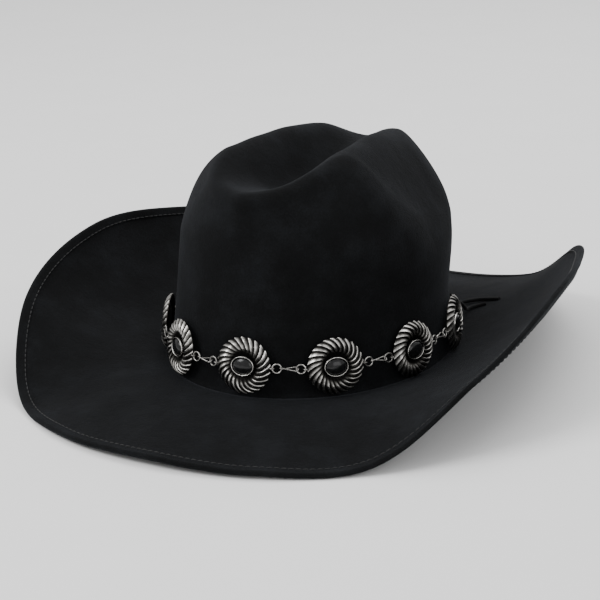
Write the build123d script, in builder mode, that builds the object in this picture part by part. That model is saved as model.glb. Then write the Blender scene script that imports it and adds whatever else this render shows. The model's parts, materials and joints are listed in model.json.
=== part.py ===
"""Western hat with a creased crown, a wired brim curled up at the sides and a concho chain hat band.

Millimetres. +Z is up, the front of the hat faces -Y and the wearer's left is +X. The origin is
under the middle of the hat, on the surface it stands on. Directions round the hat are angles in
degrees from the front (0), by the wearer's left (90), to the back (180).
"""

from build123d import *
from math import cos, exp, hypot, log, pi, radians, sin, sqrt, tan
import os

# Head oval, measured on the outside of the crown at the height of the chain
OVAL_HALF_WIDTH = 87.0
OVAL_HALF_LENGTH = 98.4
WALL_TAPER = 0.08  # how much the oval shrinks per millimetre of height, each side
CROWN_LEAN = 0.06  # how far the crown leans back per millimetre of height
FELT = 2.5  # thickness of the moulded body

# Brim: reach of the edge from the origin, and height of the edge, at each direction
BRIM_ANGLES = (0, 20, 40, 60, 90, 120, 140, 160, 180)
BRIM_REACH = (198, 199, 197, 189, 173, 174, 192, 205, 198)
BRIM_LIFT = (5, 3.1, 5.4, 43.6, 71.6, 64.1, 52.1, 10.9, 2.1)
BREAK_HEIGHT = 9.4  # middle of the brim where it meets the crown
FULL_CURL = 62.0  # rise of the edge at which a section is fully curled
# Pairs for a flat section and a fully curled one
SLOPE_AT_CROWN = (3, 10)  # degrees
SLOPE_AT_EDGE = (-3, 65)  # degrees
EDGE_HOLD = (0.33, 0.53)  # share of the width that keeps the slope of the edge
SECTION_STEP = 10  # degrees between the lofted sections of the brim
# Sections of one half, with one more past each end so that the halves meet level
HALF_SECTIONS = range(-SECTION_STEP, 180 + 2 * SECTION_STEP, SECTION_STEP)

# Brim edge
HEM_WIDTH = 6.8
HEM_THICKNESS = 3.6
WIRE_RADIUS = 0.7
WIRE_CHANNEL_RADIUS = 0.9
WIRE_INSET = 2.0  # wire centre, inside the edge
STITCH_INSET = 6.0
THREAD_RADIUS = 0.3
THREAD_CLEARANCE = 0.05
THIN_RING_SIDES = 8  # flats of the wire and thread
GAP = 0.2  # between neighbouring soft pieces

# Crown top: two ridges run front to back, with a crease between them and a dent outside each.
# Each row of numbers belongs to the stations, which are distances from the oval's middle.
CROWN_STATIONS = (-80, -45, -20, 10, 45, 75, 105)
RIDGE_HEIGHT = (147, 150, 151, 152, 150, 144, 132)
RIDGE_SPACING = (46, 42, 38, 36, 33, 28, 26)  # from the middle to each ridge
CREASE_DEPTH = (13, 20, 27, 28, 22, 12, 4)
CREASE_WIDTH = (44, 32, 24, 22, 20, 18, 18)
DENT_SLOPE = (0.05, 0.35, 1.2, 1.65, 1.65, 1.1, 0.8)
RIDGE_ROUNDING = 5.0
SIDE_TILT = 0.03  # the top leans a little to the wearer's right

# Inside of the crown
SWEATBAND_BOTTOM = 8.4
SWEATBAND_TOP = 43.0
SWEATBAND_THICKNESS = 1.0
LINING_THICKNESS = 0.6
LINING_GAP = 0.6
REED_SIZE = 1.8
BOW_LOOP = (9.0, 5.0)
BOW_THICKNESS = 0.8
BOW_STANDOFF = 1.5  # from the sweatband to the bow's back

# Concho chain
CONCHO_COUNT = 10
CONCHO_RADIUS = 17.8
CONCHO_PITCH = 56.6  # along the chain
FIRST_CONCHO = 10.4 - 6 * CONCHO_PITCH  # along the chain from the front of the hat
CHAIN_HEIGHT = 31.0
CHAIN_DIP = 1.6  # how much lower the chain hangs at the sides
CHAIN_STANDOFF = 4.0  # from the crown wall to the chain line
CHAIN_LEVEL = 0.5  # chain line, in front of a concho's back
RING_RADIUS = 2.8  # to the middle of its wire
RING_WIRE = 0.5
LINK_WIRE = 0.45
LINK_HALF_WIDTH = 1.5
LINK_OVERHANG = 1.7  # link end, past the ring centre
EYELET_REACH = 18.6
EYELET_RADIUS = 1.3
EYELET_WIRE = 0.45
PLATE_BACK = 0.9  # back and front of the plate's flat middle
PLATE_FRONT = 1.9
FLAT_RADIUS = 8.5
HOLLOW_RADIUS = 9.0
RAISED_RING = ((12.6, 4.3), (16.4, 2.4))  # crest and outer shoulder, as (radius, height)
RING_HOLLOW = ((15.6, 1.6), (12.6, 3.2))
RIM_HEIGHT = 0.9
RIM_WIDTH = 1.0
BEZEL_HALF = (7.6, 6.1)
BEZEL_WALL = 0.7
BEZEL_TOP = 3.9
BEZEL_FOOT = 1.5
STONE_CLEARANCE = 0.2
CABOCHON_BASE = 2.0
CABOCHON_TOP = 5.2

# Lace that ties the ends of the chain
LACE_RADIUS = 0.9
LACE_SPACING = 1.0  # half the distance between its two strands
KNOT_RADIUS = 3.6
TAIL_RADIUS = 1.3
TAIL_SEAT = 0.4  # how deep a tail sits in the knot
TAIL_BEND = 0.45  # share of the shorter run that an arc may take
LONG_TAIL = ((58.5, 82, 21), (54, 93, 15.6), (55.5, 104, 14.9), (63, 111, 16), (73, 112, 17.8), (82, 110, 19.6))
SHORT_TAIL = ((70.5, 80.5, 22), (66, 90.5, 15.6), (68, 99, 15.6), (75, 103.5, 17.2))


def along(angles, values, angle):
    """Smooth curve through the values at the angles, level at both ends."""
    slopes = [0.0]
    for i in range(1, len(angles) - 1):
        before = angles[i] - angles[i - 1]
        after = angles[i + 1] - angles[i]
        rise_before = (values[i] - values[i - 1]) / before
        rise_after = (values[i + 1] - values[i]) / after
        slopes.append((rise_before * after + rise_after * before) / (before + after))
    slopes.append(0.0)
    i = max(k for k in range(len(angles) - 1) if angles[k] <= angle)
    step = angles[i + 1] - angles[i]
    u = (angle - angles[i]) / step
    return (
        values[i] * (1 + 2 * u) * (1 - u) ** 2
        + slopes[i] * step * u * (1 - u) ** 2
        + values[i + 1] * u * u * (3 - 2 * u)
        - slopes[i + 1] * step * u * u * (1 - u)
    )


def oval_at(height, inset=0.0):
    """Half width, half length and middle of the crown's oval at a height."""
    shrink = WALL_TAPER * (height - CHAIN_HEIGHT) + inset
    middle = CROWN_LEAN * (height - CHAIN_HEIGHT)
    return OVAL_HALF_WIDTH - shrink, OVAL_HALF_LENGTH - shrink, middle


def crown_top(x, y):
    """Height of the creased top over a point."""
    place = max(CROWN_STATIONS[0], min(CROWN_STATIONS[-1], y))
    ridge = along(CROWN_STATIONS, RIDGE_HEIGHT, place)
    spacing = along(CROWN_STATIONS, RIDGE_SPACING, place)
    depth = along(CROWN_STATIONS, CREASE_DEPTH, place)
    width = along(CROWN_STATIONS, CREASE_WIDTH, place)
    slope = along(CROWN_STATIONS, DENT_SLOPE, place)
    outside = (abs(x) - spacing) / RIDGE_ROUNDING
    fall = RIDGE_ROUNDING * log(1 + exp(outside))
    return ridge + SIDE_TILT * x - depth * exp(-((x / width) ** 2)) - slope * fall


def crown_underside(x, y, depth):
    """Height of the surface that lies a depth inside the creased top."""
    step = 1.0
    rise_x = (crown_top(x + step, y) - crown_top(x - step, y)) / (2 * step)
    rise_y = (crown_top(x, y + step) - crown_top(x, y - step)) / (2 * step)
    return crown_top(x, y) - depth * sqrt(1 + rise_x**2 + rise_y**2)


def crown_form(inset, floor):
    """Solid inside the crown's surface, set in by the inset, down to the floor."""
    ceiling = 185.0
    reach_x, reach_y, step = 96, 112, 8
    top = Face.make_surface_from_array_of_points(
        [
            [(x, y, crown_underside(x, y, inset)) for x in range(-reach_x, reach_x + 1, step)]
            for y in range(-reach_y, reach_y + 1, step)
        ],
        tol=0.1,
        min_deg=3,
    )
    with BuildPart() as form:
        for height in (floor, ceiling):
            half_width, half_length, middle = oval_at(height, inset)
            with BuildSketch(Plane.XY.offset(height)):
                with Locations((0, middle)):
                    Ellipse(half_width, half_length)
        loft()
        extrude(top, amount=ceiling, dir=(0, 0, -1), mode=Mode.INTERSECT)
    return form.part


def between(pair, share):
    """Value at a share of the way from the first of a pair to the second."""
    return pair[0] + (pair[1] - pair[0]) * share


def brim_section(angle):
    """Control points of the brim's middle line at a direction, as (reach, height), and its end slope."""
    half_width, half_length, middle = oval_at(BREAK_HEIGHT)
    turn = radians(angle)
    angle = abs(angle) if angle < 180 else 360 - angle
    inner = 1 / hypot(sin(turn) / half_width, cos(turn) / half_length) - middle * cos(turn) + 2 * GAP
    reach = along(BRIM_ANGLES, BRIM_REACH, angle)
    lift = along(BRIM_ANGLES, BRIM_LIFT, angle)
    curl = max(0.0, min(1.0, (lift - BREAK_HEIGHT) / FULL_CURL))
    start = radians(between(SLOPE_AT_CROWN, curl))
    end = radians(between(SLOPE_AT_EDGE, curl))
    width = reach - inner
    hold = between(EDGE_HOLD, curl) * width
    points = [
        Vector(inner, BREAK_HEIGHT),
        Vector(inner + 0.5 * width * cos(start), BREAK_HEIGHT + 0.5 * width * sin(start)),
        Vector(reach - hold * cos(end), lift - hold * sin(end)),
        Vector(reach, lift),
    ]
    return points, start, end


def section_plane(angle):
    """Upright plane through the Z axis, with its x axis pointing out in a direction."""
    turn = radians(angle)
    return Plane(origin=(0, 0, 0), x_dir=(sin(turn), -cos(turn), 0), z_dir=(-cos(turn), -sin(turn), 0))


def edge_point(angle, inset, above=0.0):
    """Point inside the brim's edge by the inset, and above the middle of the felt."""
    points, _, end = brim_section(angle)
    ahead = Vector(cos(end), sin(end))
    upward = Vector(-sin(end), cos(end))
    return points[3] - ahead * inset + upward * above


def all_round(radius, inset, above=0.0):
    """Round ring that follows the brim's edge, all the way round."""
    with BuildPart() as ring:
        for angle in HALF_SECTIONS:
            centre = edge_point(angle, inset, above)
            with BuildSketch(section_plane(angle)):
                with Locations((centre.X, centre.Y)):
                    RegularPolygon(radius, THIN_RING_SIDES)
        loft()
        split(bisect_by=Plane.YZ, keep=Keep.TOP)
        mirror(about=Plane.YZ)
    return ring.part


parts = {}


def keep(name, part):
    """Labels a finished piece and stores it for export."""
    part.label = name
    parts[name] = part


# Brim: one moulded sheet, flat at the front and back, curled up at the sides
with BuildPart() as brim:
    for section_angle in HALF_SECTIONS:
        mid, slope_in, slope_out = brim_section(section_angle)
        stop = edge_point(section_angle, HEM_WIDTH + GAP)
        half = FELT / 2
        up_in = Vector(-sin(slope_in), cos(slope_in)) * half
        up_out = Vector(-sin(slope_out), cos(slope_out)) * half
        pull = mid[2] - Vector(cos(slope_out), sin(slope_out)) * (HEM_WIDTH / 2)
        with BuildSketch(section_plane(section_angle)):
            with BuildLine():
                Bezier(mid[0] + up_in, mid[1] + up_in, pull + up_out, stop + up_out)
                Line(stop + up_out, stop - up_out)
                Bezier(stop - up_out, pull - up_out, mid[1] - up_in, mid[0] - up_in)
                Line(mid[0] - up_in, mid[0] + up_in)
            make_face()
    loft()
    split(bisect_by=Plane.YZ, keep=Keep.TOP)
    mirror(about=Plane.YZ)
keep("brim", brim.part)

# Hem: the edge of the brim folded back over the wire
with BuildPart() as brim_hem:
    for section_angle in HALF_SECTIONS:
        half = HEM_THICKNESS / 2
        inner_low = edge_point(section_angle, HEM_WIDTH, -half)
        inner_high = edge_point(section_angle, HEM_WIDTH, half)
        outer_low = edge_point(section_angle, half, -half)
        outer_high = edge_point(section_angle, half, half)
        tip = edge_point(section_angle, 0)
        with BuildSketch(section_plane(section_angle)):
            with BuildLine():
                Line(inner_low, outer_low)
                ThreePointArc(outer_low, tip, outer_high)
                Line(outer_high, inner_high)
                Line(inner_high, inner_low)
            make_face()
    loft()
    split(bisect_by=Plane.YZ, keep=Keep.TOP)
    mirror(about=Plane.YZ)
    add(all_round(WIRE_CHANNEL_RADIUS, WIRE_INSET), mode=Mode.SUBTRACT)
keep("brim_hem", brim_hem.part)
keep("brim_wire", all_round(WIRE_RADIUS, WIRE_INSET))
keep("hem_stitching", all_round(THREAD_RADIUS, STITCH_INSET, HEM_THICKNESS / 2 + THREAD_RADIUS + THREAD_CLEARANCE))

# Crown: a moulded shell, open below
with BuildPart() as crown_shell:
    add(crown_form(0, BREAK_HEIGHT - FELT / 2))
    add(crown_form(FELT, BREAK_HEIGHT - 2 * FELT), mode=Mode.SUBTRACT)
keep("crown_shell", crown_shell.part)

# Lining: a satin bag inside the crown, above the sweatband
lining_outside = FELT + LINING_GAP
lining_floor = SWEATBAND_TOP + GAP
with BuildPart() as crown_lining:
    add(crown_form(lining_outside, lining_floor))
    add(crown_form(lining_outside + LINING_THICKNESS, lining_floor - FELT), mode=Mode.SUBTRACT)
keep("crown_lining", crown_lining.part)


def oval_sleeve(bottom, top, inset, thickness):
    """Upright band that lines the crown's wall between two heights."""
    with BuildPart() as sleeve:
        for depth, mode in ((inset, Mode.ADD), (inset + thickness, Mode.SUBTRACT)):
            for height in (bottom, top):
                half_width, half_length, middle = oval_at(height, depth)
                with BuildSketch(Plane.XY.offset(height)):
                    with Locations((0, middle)):
                        Ellipse(half_width, half_length)
            loft(mode=mode)
    return sleeve.part


# Sweatband, with the reed that stiffens its lower edge and a bow at its back seam
band_inset = FELT + GAP
keep("sweatband", oval_sleeve(SWEATBAND_BOTTOM, SWEATBAND_TOP, band_inset, SWEATBAND_THICKNESS))
reed_inset = band_inset + SWEATBAND_THICKNESS + GAP
keep("sweatband_reed", oval_sleeve(SWEATBAND_BOTTOM, SWEATBAND_BOTTOM + REED_SIZE, reed_inset, REED_SIZE))

bow_height = (SWEATBAND_BOTTOM + SWEATBAND_TOP) / 2
_, bow_half_length, bow_middle = oval_at(bow_height, band_inset + SWEATBAND_THICKNESS)
bow_plane = Plane(origin=(0, bow_middle + bow_half_length - BOW_STANDOFF, bow_height), x_dir=(1, 0, 0), z_dir=(0, -1, 0))
with BuildPart() as sweatband_bow:
    with BuildSketch(bow_plane):
        with Locations((-BOW_LOOP[0] / 2, 0), (BOW_LOOP[0] / 2, 0)):
            Ellipse(BOW_LOOP[0] / 2, BOW_LOOP[1] / 2)
        Circle(BOW_LOOP[1] / 3)
    extrude(amount=BOW_THICKNESS)
keep("sweatband_bow", sweatband_bow.part)


# Concho chain
def chain_table():
    """Oval of the chain line as (length from the front, angle), by short steps."""
    half_width, half_length, _ = oval_at(CHAIN_HEIGHT, -CHAIN_STANDOFF)
    steps = 3600
    length, table = 0.0, [(0.0, 0.0)]
    for step in range(steps):
        turn = 2 * pi * (step + 0.5) / steps
        length += 2 * pi / steps * hypot(half_width * cos(turn), half_length * sin(turn))
        table.append((length, 2 * pi * (step + 1) / steps))
    return table


CHAIN_TABLE = chain_table()
CHAIN_LENGTH = CHAIN_TABLE[-1][0]


def chain_frame(length):
    """Plane on the chain line at a length from the front: x along the chain, z out of the crown."""
    wanted = length % CHAIN_LENGTH
    turn = next(angle for reached, angle in CHAIN_TABLE if reached >= wanted)
    half_width, half_length, middle = oval_at(CHAIN_HEIGHT, -CHAIN_STANDOFF)
    x, y = half_width * sin(turn), middle - half_length * cos(turn)
    ahead = Vector(half_width * cos(turn), half_length * sin(turn), 0).normalized()
    outward = Vector(ahead.Y, -ahead.X, 0)
    slope = WALL_TAPER - CROWN_LEAN * outward.Y
    face = (outward + Vector(0, 0, slope)).normalized()
    height = CHAIN_HEIGHT - CHAIN_DIP * (x / half_width) ** 2
    return Plane(origin=(x, y, height), x_dir=ahead, z_dir=face)


def concho_plate():
    """Stamped shell with a raised ring round an oval bezel, and an eyelet at each side."""
    rim_top = (CONCHO_RADIUS, RIM_HEIGHT)
    rim_inside = (CONCHO_RADIUS - RIM_WIDTH, 0)
    with BuildPart() as plate:
        with BuildSketch(Plane.XZ):
            with BuildLine():
                Line((0, PLATE_BACK), (0, PLATE_FRONT))
                Line((0, PLATE_FRONT), (FLAT_RADIUS, PLATE_FRONT))
                Spline((FLAT_RADIUS, PLATE_FRONT), *RAISED_RING, rim_top, tangents=((1, 0.5), (0.4, -1)))
                Line(rim_top, (CONCHO_RADIUS, 0))
                Line((CONCHO_RADIUS, 0), rim_inside)
                Spline(rim_inside, *RING_HOLLOW, (HOLLOW_RADIUS, PLATE_BACK), tangents=((-0.4, 1), (-1, -0.5)))
                Line((HOLLOW_RADIUS, PLATE_BACK), (0, PLATE_BACK))
            make_face()
        revolve(axis=Axis.Z)
        with BuildSketch(Plane.XY.offset(BEZEL_FOOT)):
            Ellipse(*BEZEL_HALF)
        extrude(amount=BEZEL_TOP - BEZEL_FOOT)
        with BuildSketch(Plane.XY.offset(PLATE_FRONT)):
            Ellipse(BEZEL_HALF[0] - BEZEL_WALL, BEZEL_HALF[1] - BEZEL_WALL)
        extrude(amount=BEZEL_TOP, mode=Mode.SUBTRACT)
        for side in (-1, 1):
            with Locations((side * EYELET_REACH, 0, CHAIN_LEVEL)):
                Torus(EYELET_RADIUS, EYELET_WIRE, rotation=(90, 0, 0))
    return plate.part


def cabochon():
    """Low oval dome that sits in the bezel."""
    half_length, half_width = (half - BEZEL_WALL - STONE_CLEARANCE for half in BEZEL_HALF)
    with BuildPart() as stone:
        Sphere(1)
        scale(by=(half_length, half_width, CABOCHON_TOP - CABOCHON_BASE))
        split(bisect_by=Plane.XY)
    return stone.part.moved(Location((0, 0, CABOCHON_BASE)))


plate_form = concho_plate()
stone_form = cabochon()
frames = [chain_frame(FIRST_CONCHO + i * CONCHO_PITCH) for i in range(CONCHO_COUNT)]
for i, frame in enumerate(frames):
    seat_plane = Plane(origin=frame.origin - frame.z_dir * CHAIN_LEVEL, x_dir=frame.x_dir, z_dir=frame.z_dir)
    keep(f"concho_{i + 1:02d}", plate_form.moved(seat_plane.location))
    keep(f"cabochon_{i + 1:02d}", stone_form.moved(seat_plane.location))

# The lace is knotted half way between the two ends of the chain, at the wearer's left rear
chain_span = (CONCHO_COUNT - 1) * CONCHO_PITCH
knot_frame = chain_frame(FIRST_CONCHO + (chain_span + CHAIN_LENGTH) / 2)


def ring_place(frame, side, pulled_to):
    """Plane of a jump ring in a concho's eyelet, pulled towards a point."""
    eyelet = frame.origin + frame.x_dir * (side * EYELET_REACH)
    pull = (pulled_to - eyelet).normalized()
    face = (frame.z_dir - pull * frame.z_dir.dot(pull)).normalized()
    return Plane(origin=eyelet + pull * RING_RADIUS, x_dir=pull, z_dir=face)


ring_places = []
for i, frame in enumerate(frames):
    for side, neighbour in ((-1, i - 1), (1, i + 1)):
        if 0 <= neighbour < CONCHO_COUNT:
            other = frames[neighbour]
            target = other.origin - other.x_dir * (side * EYELET_REACH)
        else:
            target = knot_frame.origin
        ring_places.append(ring_place(frame, side, target))

with BuildPart() as jump_rings:
    for place in ring_places:
        with Locations(place.location):
            Torus(RING_RADIUS, RING_WIRE)
keep("jump_rings", jump_rings.part)


def chain_link(start, finish):
    """Long closed wire loop that hooks two jump rings together."""
    span = finish - start
    ahead = span.normalized()
    reach = span.length / 2 - LINK_OVERHANG
    straight = reach - LINK_HALF_WIDTH
    place = Plane(origin=(start + finish) * 0.5, x_dir=ahead, z_dir=(0, 0, 1))
    with BuildPart() as link:
        with BuildLine(place):
            Line((-straight, LINK_HALF_WIDTH), (straight, LINK_HALF_WIDTH))
            ThreePointArc((straight, LINK_HALF_WIDTH), (reach, 0), (straight, -LINK_HALF_WIDTH))
            Line((straight, -LINK_HALF_WIDTH), (-straight, -LINK_HALF_WIDTH))
            ThreePointArc((-straight, -LINK_HALF_WIDTH), (-reach, 0), (-straight, LINK_HALF_WIDTH))
        side = place.from_local_coords((0, LINK_HALF_WIDTH, 0))
        with BuildSketch(Plane(origin=side, x_dir=place.y_dir, z_dir=ahead)):
            Circle(LINK_WIRE)
        sweep()
    return link.part


for i in range(CONCHO_COUNT - 1):
    link_start = ring_places[2 * i + 1].origin
    link_finish = ring_places[2 * i + 2].origin
    keep(f"chain_link_{i + 1:02d}", chain_link(link_start, link_finish))

# Lace through the two end rings, with its knot and its two loose ends
def lace_strands(ring):
    """Two strands side by side from an end ring to the knot."""
    span = knot_frame.origin - ring.origin
    ahead = span.normalized()
    start = ring.origin + ahead * (RING_RADIUS + RING_WIRE + GAP)
    finish = knot_frame.origin - ahead * (KNOT_RADIUS + GAP)
    place = Plane(origin=start, x_dir=(0, 0, 1), z_dir=ahead)
    with BuildPart() as strands:
        with BuildSketch(place):
            with Locations((-LACE_SPACING, 0), (LACE_SPACING, 0)):
                Circle(LACE_RADIUS)
        extrude(amount=(finish - start).length)
    return strands.part


keep("tie_lace_front", lace_strands(ring_places[-1]))
keep("tie_lace_rear", lace_strands(ring_places[0]))
with BuildPart() as tie_knot:
    with Locations(knot_frame.location):
        Sphere(KNOT_RADIUS)
keep("tie_knot", tie_knot.part)


def lace_tail(points):
    """Loose end of the lace, from the knot, down on to the brim and along it."""
    first = Vector(points[0])
    leave = knot_frame.origin + (first - knot_frame.origin).normalized() * (KNOT_RADIUS - TAIL_SEAT)
    route = [leave, *(Vector(point) for point in points)]
    runs = [after - before for before, after in zip(route, route[1:])]
    radii = [
        TAIL_BEND * min(run.length, following.length) / tan(radians(run.get_angle(following)) / 2)
        for run, following in zip(runs, runs[1:])
    ]
    print("lace bends", [round(radius, 1) for radius in radii])
    with BuildPart() as tail:
        with BuildLine() as path:
            FilletPolyline(*route, radius=radii)
        with BuildSketch(Plane(origin=leave, z_dir=runs[0])):
            Circle(TAIL_RADIUS)
        sweep()
    length = path.wires()[0].length
    swept = pi * TAIL_RADIUS**2 * length
    print("lace length", round(length, 1), "volume share", round(tail.part.volume / swept, 3))
    return tail.part


keep("lace_tail_long", lace_tail(LONG_TAIL))
keep("lace_tail_short", lace_tail(SHORT_TAIL))

os.makedirs("parts", exist_ok=True)
for name, part in parts.items():
    export_step(part, f"parts/{name}.step")
print("chain", round(CHAIN_LENGTH, 1), "knot", knot_frame.origin, knot_frame.z_dir)
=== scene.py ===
"""Looks of the black suede western hat with a concho chain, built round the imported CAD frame.

Metres, in the part's own frame: +Z is up, the front of the hat faces -Y and the wearer's left is +X.
Directions round the hat are angles from the front (0), by the wearer's left, to the back.
"""

import json
from math import cos, pi, radians, sin

import bmesh
import bpy
import numpy as np
from mathutils import Matrix, Vector, noise


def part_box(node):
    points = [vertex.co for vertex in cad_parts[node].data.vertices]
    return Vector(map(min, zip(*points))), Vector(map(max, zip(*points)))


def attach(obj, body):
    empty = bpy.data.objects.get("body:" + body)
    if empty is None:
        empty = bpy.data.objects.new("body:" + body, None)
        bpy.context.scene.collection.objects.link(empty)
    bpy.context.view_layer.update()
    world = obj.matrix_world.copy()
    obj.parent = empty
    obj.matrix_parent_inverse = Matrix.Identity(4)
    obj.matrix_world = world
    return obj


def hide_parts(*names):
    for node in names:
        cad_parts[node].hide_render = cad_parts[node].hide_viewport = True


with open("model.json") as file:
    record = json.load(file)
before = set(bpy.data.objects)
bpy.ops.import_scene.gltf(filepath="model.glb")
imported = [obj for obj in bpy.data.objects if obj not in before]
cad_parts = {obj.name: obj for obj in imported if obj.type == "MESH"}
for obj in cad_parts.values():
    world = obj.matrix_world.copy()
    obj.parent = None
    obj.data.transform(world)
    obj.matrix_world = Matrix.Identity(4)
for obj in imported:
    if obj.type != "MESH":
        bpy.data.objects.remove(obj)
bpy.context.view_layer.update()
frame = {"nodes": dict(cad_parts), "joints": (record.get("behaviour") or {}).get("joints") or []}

MM = 0.001
SEED = 7

# Moulded body, with the same driving dimensions as the CAD part
OVAL_HALF_WIDTH = 87.0 * MM
OVAL_HALF_LENGTH = 98.4 * MM
WALL_TAPER = 0.08
CROWN_LEAN = 0.06
FELT = 2.5 * MM
BREAK_HEIGHT = 9.4 * MM
BRIM_ANGLES = np.radians((0, 20, 40, 60, 90, 120, 140, 160, 180))
BRIM_REACH = np.array((198, 199, 197, 189, 173, 174, 192, 205, 198)) * MM
BRIM_LIFT = np.array((5, 3.1, 5.4, 43.6, 71.6, 64.1, 52.1, 10.9, 2.1)) * MM
FULL_CURL = 62.0 * MM  # lift of the edge over the break at which the curl is full
SLOPE_AT_CROWN = (3, 10)  # degrees, on a flat stretch and where the curl is full
SLOPE_AT_EDGE = (-3, 65)
EDGE_HOLD = (0.33, 0.53)  # of the brim's width
HEM_LAP = 1.0 * MM  # how far the brim's sheet reaches into the hem
HEM_WIDTH = 6.8 * MM
HEM_THICKNESS = 3.6 * MM
STITCH_INSET = 6.0 * MM
THREAD_RADIUS = 0.3 * MM

# Creased top, by distance from the middle of the head oval
CROWN_STATIONS = np.array((-80, -45, -20, 10, 45, 75, 105)) * MM
RIDGE_HEIGHT = np.array((147, 150, 151, 152, 150, 144, 132)) * MM
RIDGE_SPACING = np.array((46, 42, 38, 36, 33, 28, 26)) * MM
CREASE_DEPTH = np.array((13, 20, 27, 28, 22, 12, 4)) * MM
CREASE_WIDTH = np.array((44, 32, 24, 22, 20, 18, 18)) * MM
DENT_SLOPE = np.array((0.05, 0.35, 1.2, 1.65, 1.65, 1.1, 0.8))
RIDGE_ROUNDING = 5.0 * MM
SIDE_TILT = 0.03
LIP_ROUNDING = 8.0 * MM
FOOT_FLARE = 3.0 * MM

# Rays that find the crown's surface, from a column up the middle of the crown and then from its top
CROWN_HEART = 70.0 * MM
RAY_REACH = 160.0 * MM
RAY_HALVINGS = 34
LAST_CLIMB = 0.497 * pi

# Soft fullness that the steamed felt has over the plain form
TOP_SHIFT = (-2.4 * MM, -9.0 * MM)
TOP_RAISE = 3.0 * MM
CREASE_SHARE = 1.25  # of the plain form's crease depth
TOP_SPREAD = (0.96, 0.84)  # narrowing of the pattern on the wearer's right and left
SHOULDER_START = 95.0 * MM
SHOULDER_DROOP = (0.165, 0.0046 / MM)
FULL_SIDE = radians(121)
FULL_WIDTH = radians(45)
FULLNESS = 4.3 * MM
FULL_HEIGHTS = (42 * MM, 88 * MM)

# Inside of the crown
BAND_BOTTOM = 8.4 * MM
BAND_TOP = 43.0 * MM
BAND_INSET = 2.7 * MM
BAND_THICKNESS = 1.0 * MM
LINING_INSET = 3.1 * MM
LINING_THICKNESS = 0.6 * MM
PLEATS = 44

# Concho chain
CHAIN_HEIGHT = 31.0 * MM
CHAIN_LEVEL = 0.5 * MM
CONCHO_RADIUS = 17.8 * MM
RIBS = 24
EYELET_REACH = 18.6 * MM
EYELET_RADIUS = 1.3 * MM
RING_RADIUS = 2.8 * MM
RING_WIRE = 0.5 * MM
LINK_WIRE = 0.45 * MM
LINK_HALF_WIDTH = 1.5 * MM
LINK_OVERHANG = 1.7 * MM
LINK_TWIST = radians(70)
BEZEL_HALF = (7.6 * MM, 6.1 * MM)
BEZEL_WALL = 0.7 * MM
BEZEL_TOP = 3.9 * MM
CABOCHON_BASE = 2.0 * MM
CABOCHON_TOP = 5.2 * MM

# Lace
LACE_RADIUS = 0.9 * MM
TAIL_RADIUS = 1.3 * MM
KNOT_RADIUS = 3.6 * MM
KNOT_AHEAD = (-0.65, 0.755, 0)
KNOT_OUTWARD = (0.755, 0.65, 0)
TAIL_SEAT = 0.4 * MM
LONG_TAIL = (  # millimetres
    (58.5, 82, 21), (54, 93, 15.6), (55.5, 104, 14.9), (63, 111, 16), (73, 112, 17.8), (82, 110, 19.6),
)
SHORT_TAIL = ((70.5, 80.5, 22), (66, 90.5, 15.6), (68, 99, 15.6), (75, 103.5, 17.2))

# Camera: its place round the aim in degrees and metres, and its turn about its own axis
CAMERA_AZIMUTH = 31.13
CAMERA_ELEVATION = 18.48
CAMERA_TURN = 1.90
CAMERA_DISTANCE = 1.311
CAMERA_AIM = (-0.0135, 0.0062, 0.0367)
CAMERA_LENS = 119.53
CAMERA_SENSOR = 36


# ---------------------------------------------------------------- shapes of the moulded body


def along(knots, values, place):
    """Smooth curve through the values at the knots, level at both ends."""
    steps = np.diff(knots)
    rises = np.diff(values) / steps
    slopes = np.zeros(len(values))
    slopes[1:-1] = (rises[:-1] * steps[1:] + rises[1:] * steps[:-1]) / (steps[:-1] + steps[1:])
    i = np.clip(np.searchsorted(knots, place, side="right") - 1, 0, len(steps) - 1)
    u = (place - knots[i]) / steps[i]
    return (
        values[i] * (1 + 2 * u) * (1 - u) ** 2
        + slopes[i] * steps[i] * u * (1 - u) ** 2
        + values[i + 1] * u * u * (3 - 2 * u)
        - slopes[i + 1] * steps[i] * u * u * (1 - u)
    )


def oval_at(height, inset=0.0):
    """Half width, half length and middle of the crown's oval at a height."""
    shrink = WALL_TAPER * (height - CHAIN_HEIGHT) + inset
    middle = CROWN_LEAN * (height - CHAIN_HEIGHT)
    return OVAL_HALF_WIDTH - shrink, OVAL_HALF_LENGTH - shrink, middle


def crown_top(x, y):
    """Height of the creased top over a point."""
    x = (x - TOP_SHIFT[0]) * np.where(x < TOP_SHIFT[0], *TOP_SPREAD)
    y = y - TOP_SHIFT[1]
    place = np.clip(y, CROWN_STATIONS[0], CROWN_STATIONS[-1])
    ridge = along(CROWN_STATIONS, RIDGE_HEIGHT, place)
    spacing = along(CROWN_STATIONS, RIDGE_SPACING, place)
    depth = CREASE_SHARE * along(CROWN_STATIONS, CREASE_DEPTH, place)
    width = along(CROWN_STATIONS, CREASE_WIDTH, place)
    slope = along(CROWN_STATIONS, DENT_SLOPE, place)
    fall = RIDGE_ROUNDING * np.logaddexp(0, (np.abs(x) - spacing) / RIDGE_ROUNDING)
    return TOP_RAISE + ridge + SIDE_TILT * x - depth * np.exp(-((x / width) ** 2)) - slope * fall


def softness(x, y, z):
    """How far the wall lies inside the plain form: soft shoulders between the dents, less the full side."""
    way = np.arctan2(x, -y)
    over = np.maximum(z - SHOULDER_START, 0)
    droop = np.abs(np.sin(2 * way)) ** 1.2 * over * (SHOULDER_DROOP[0] + SHOULDER_DROOP[1] * over)
    climb = np.clip((z - FULL_HEIGHTS[0]) / (FULL_HEIGHTS[1] - FULL_HEIGHTS[0]), 0, 1)
    return droop - FULLNESS * np.exp(-(((way - FULL_SIDE) / FULL_WIDTH) ** 2)) * climb**2 * (3 - 2 * climb)


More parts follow.
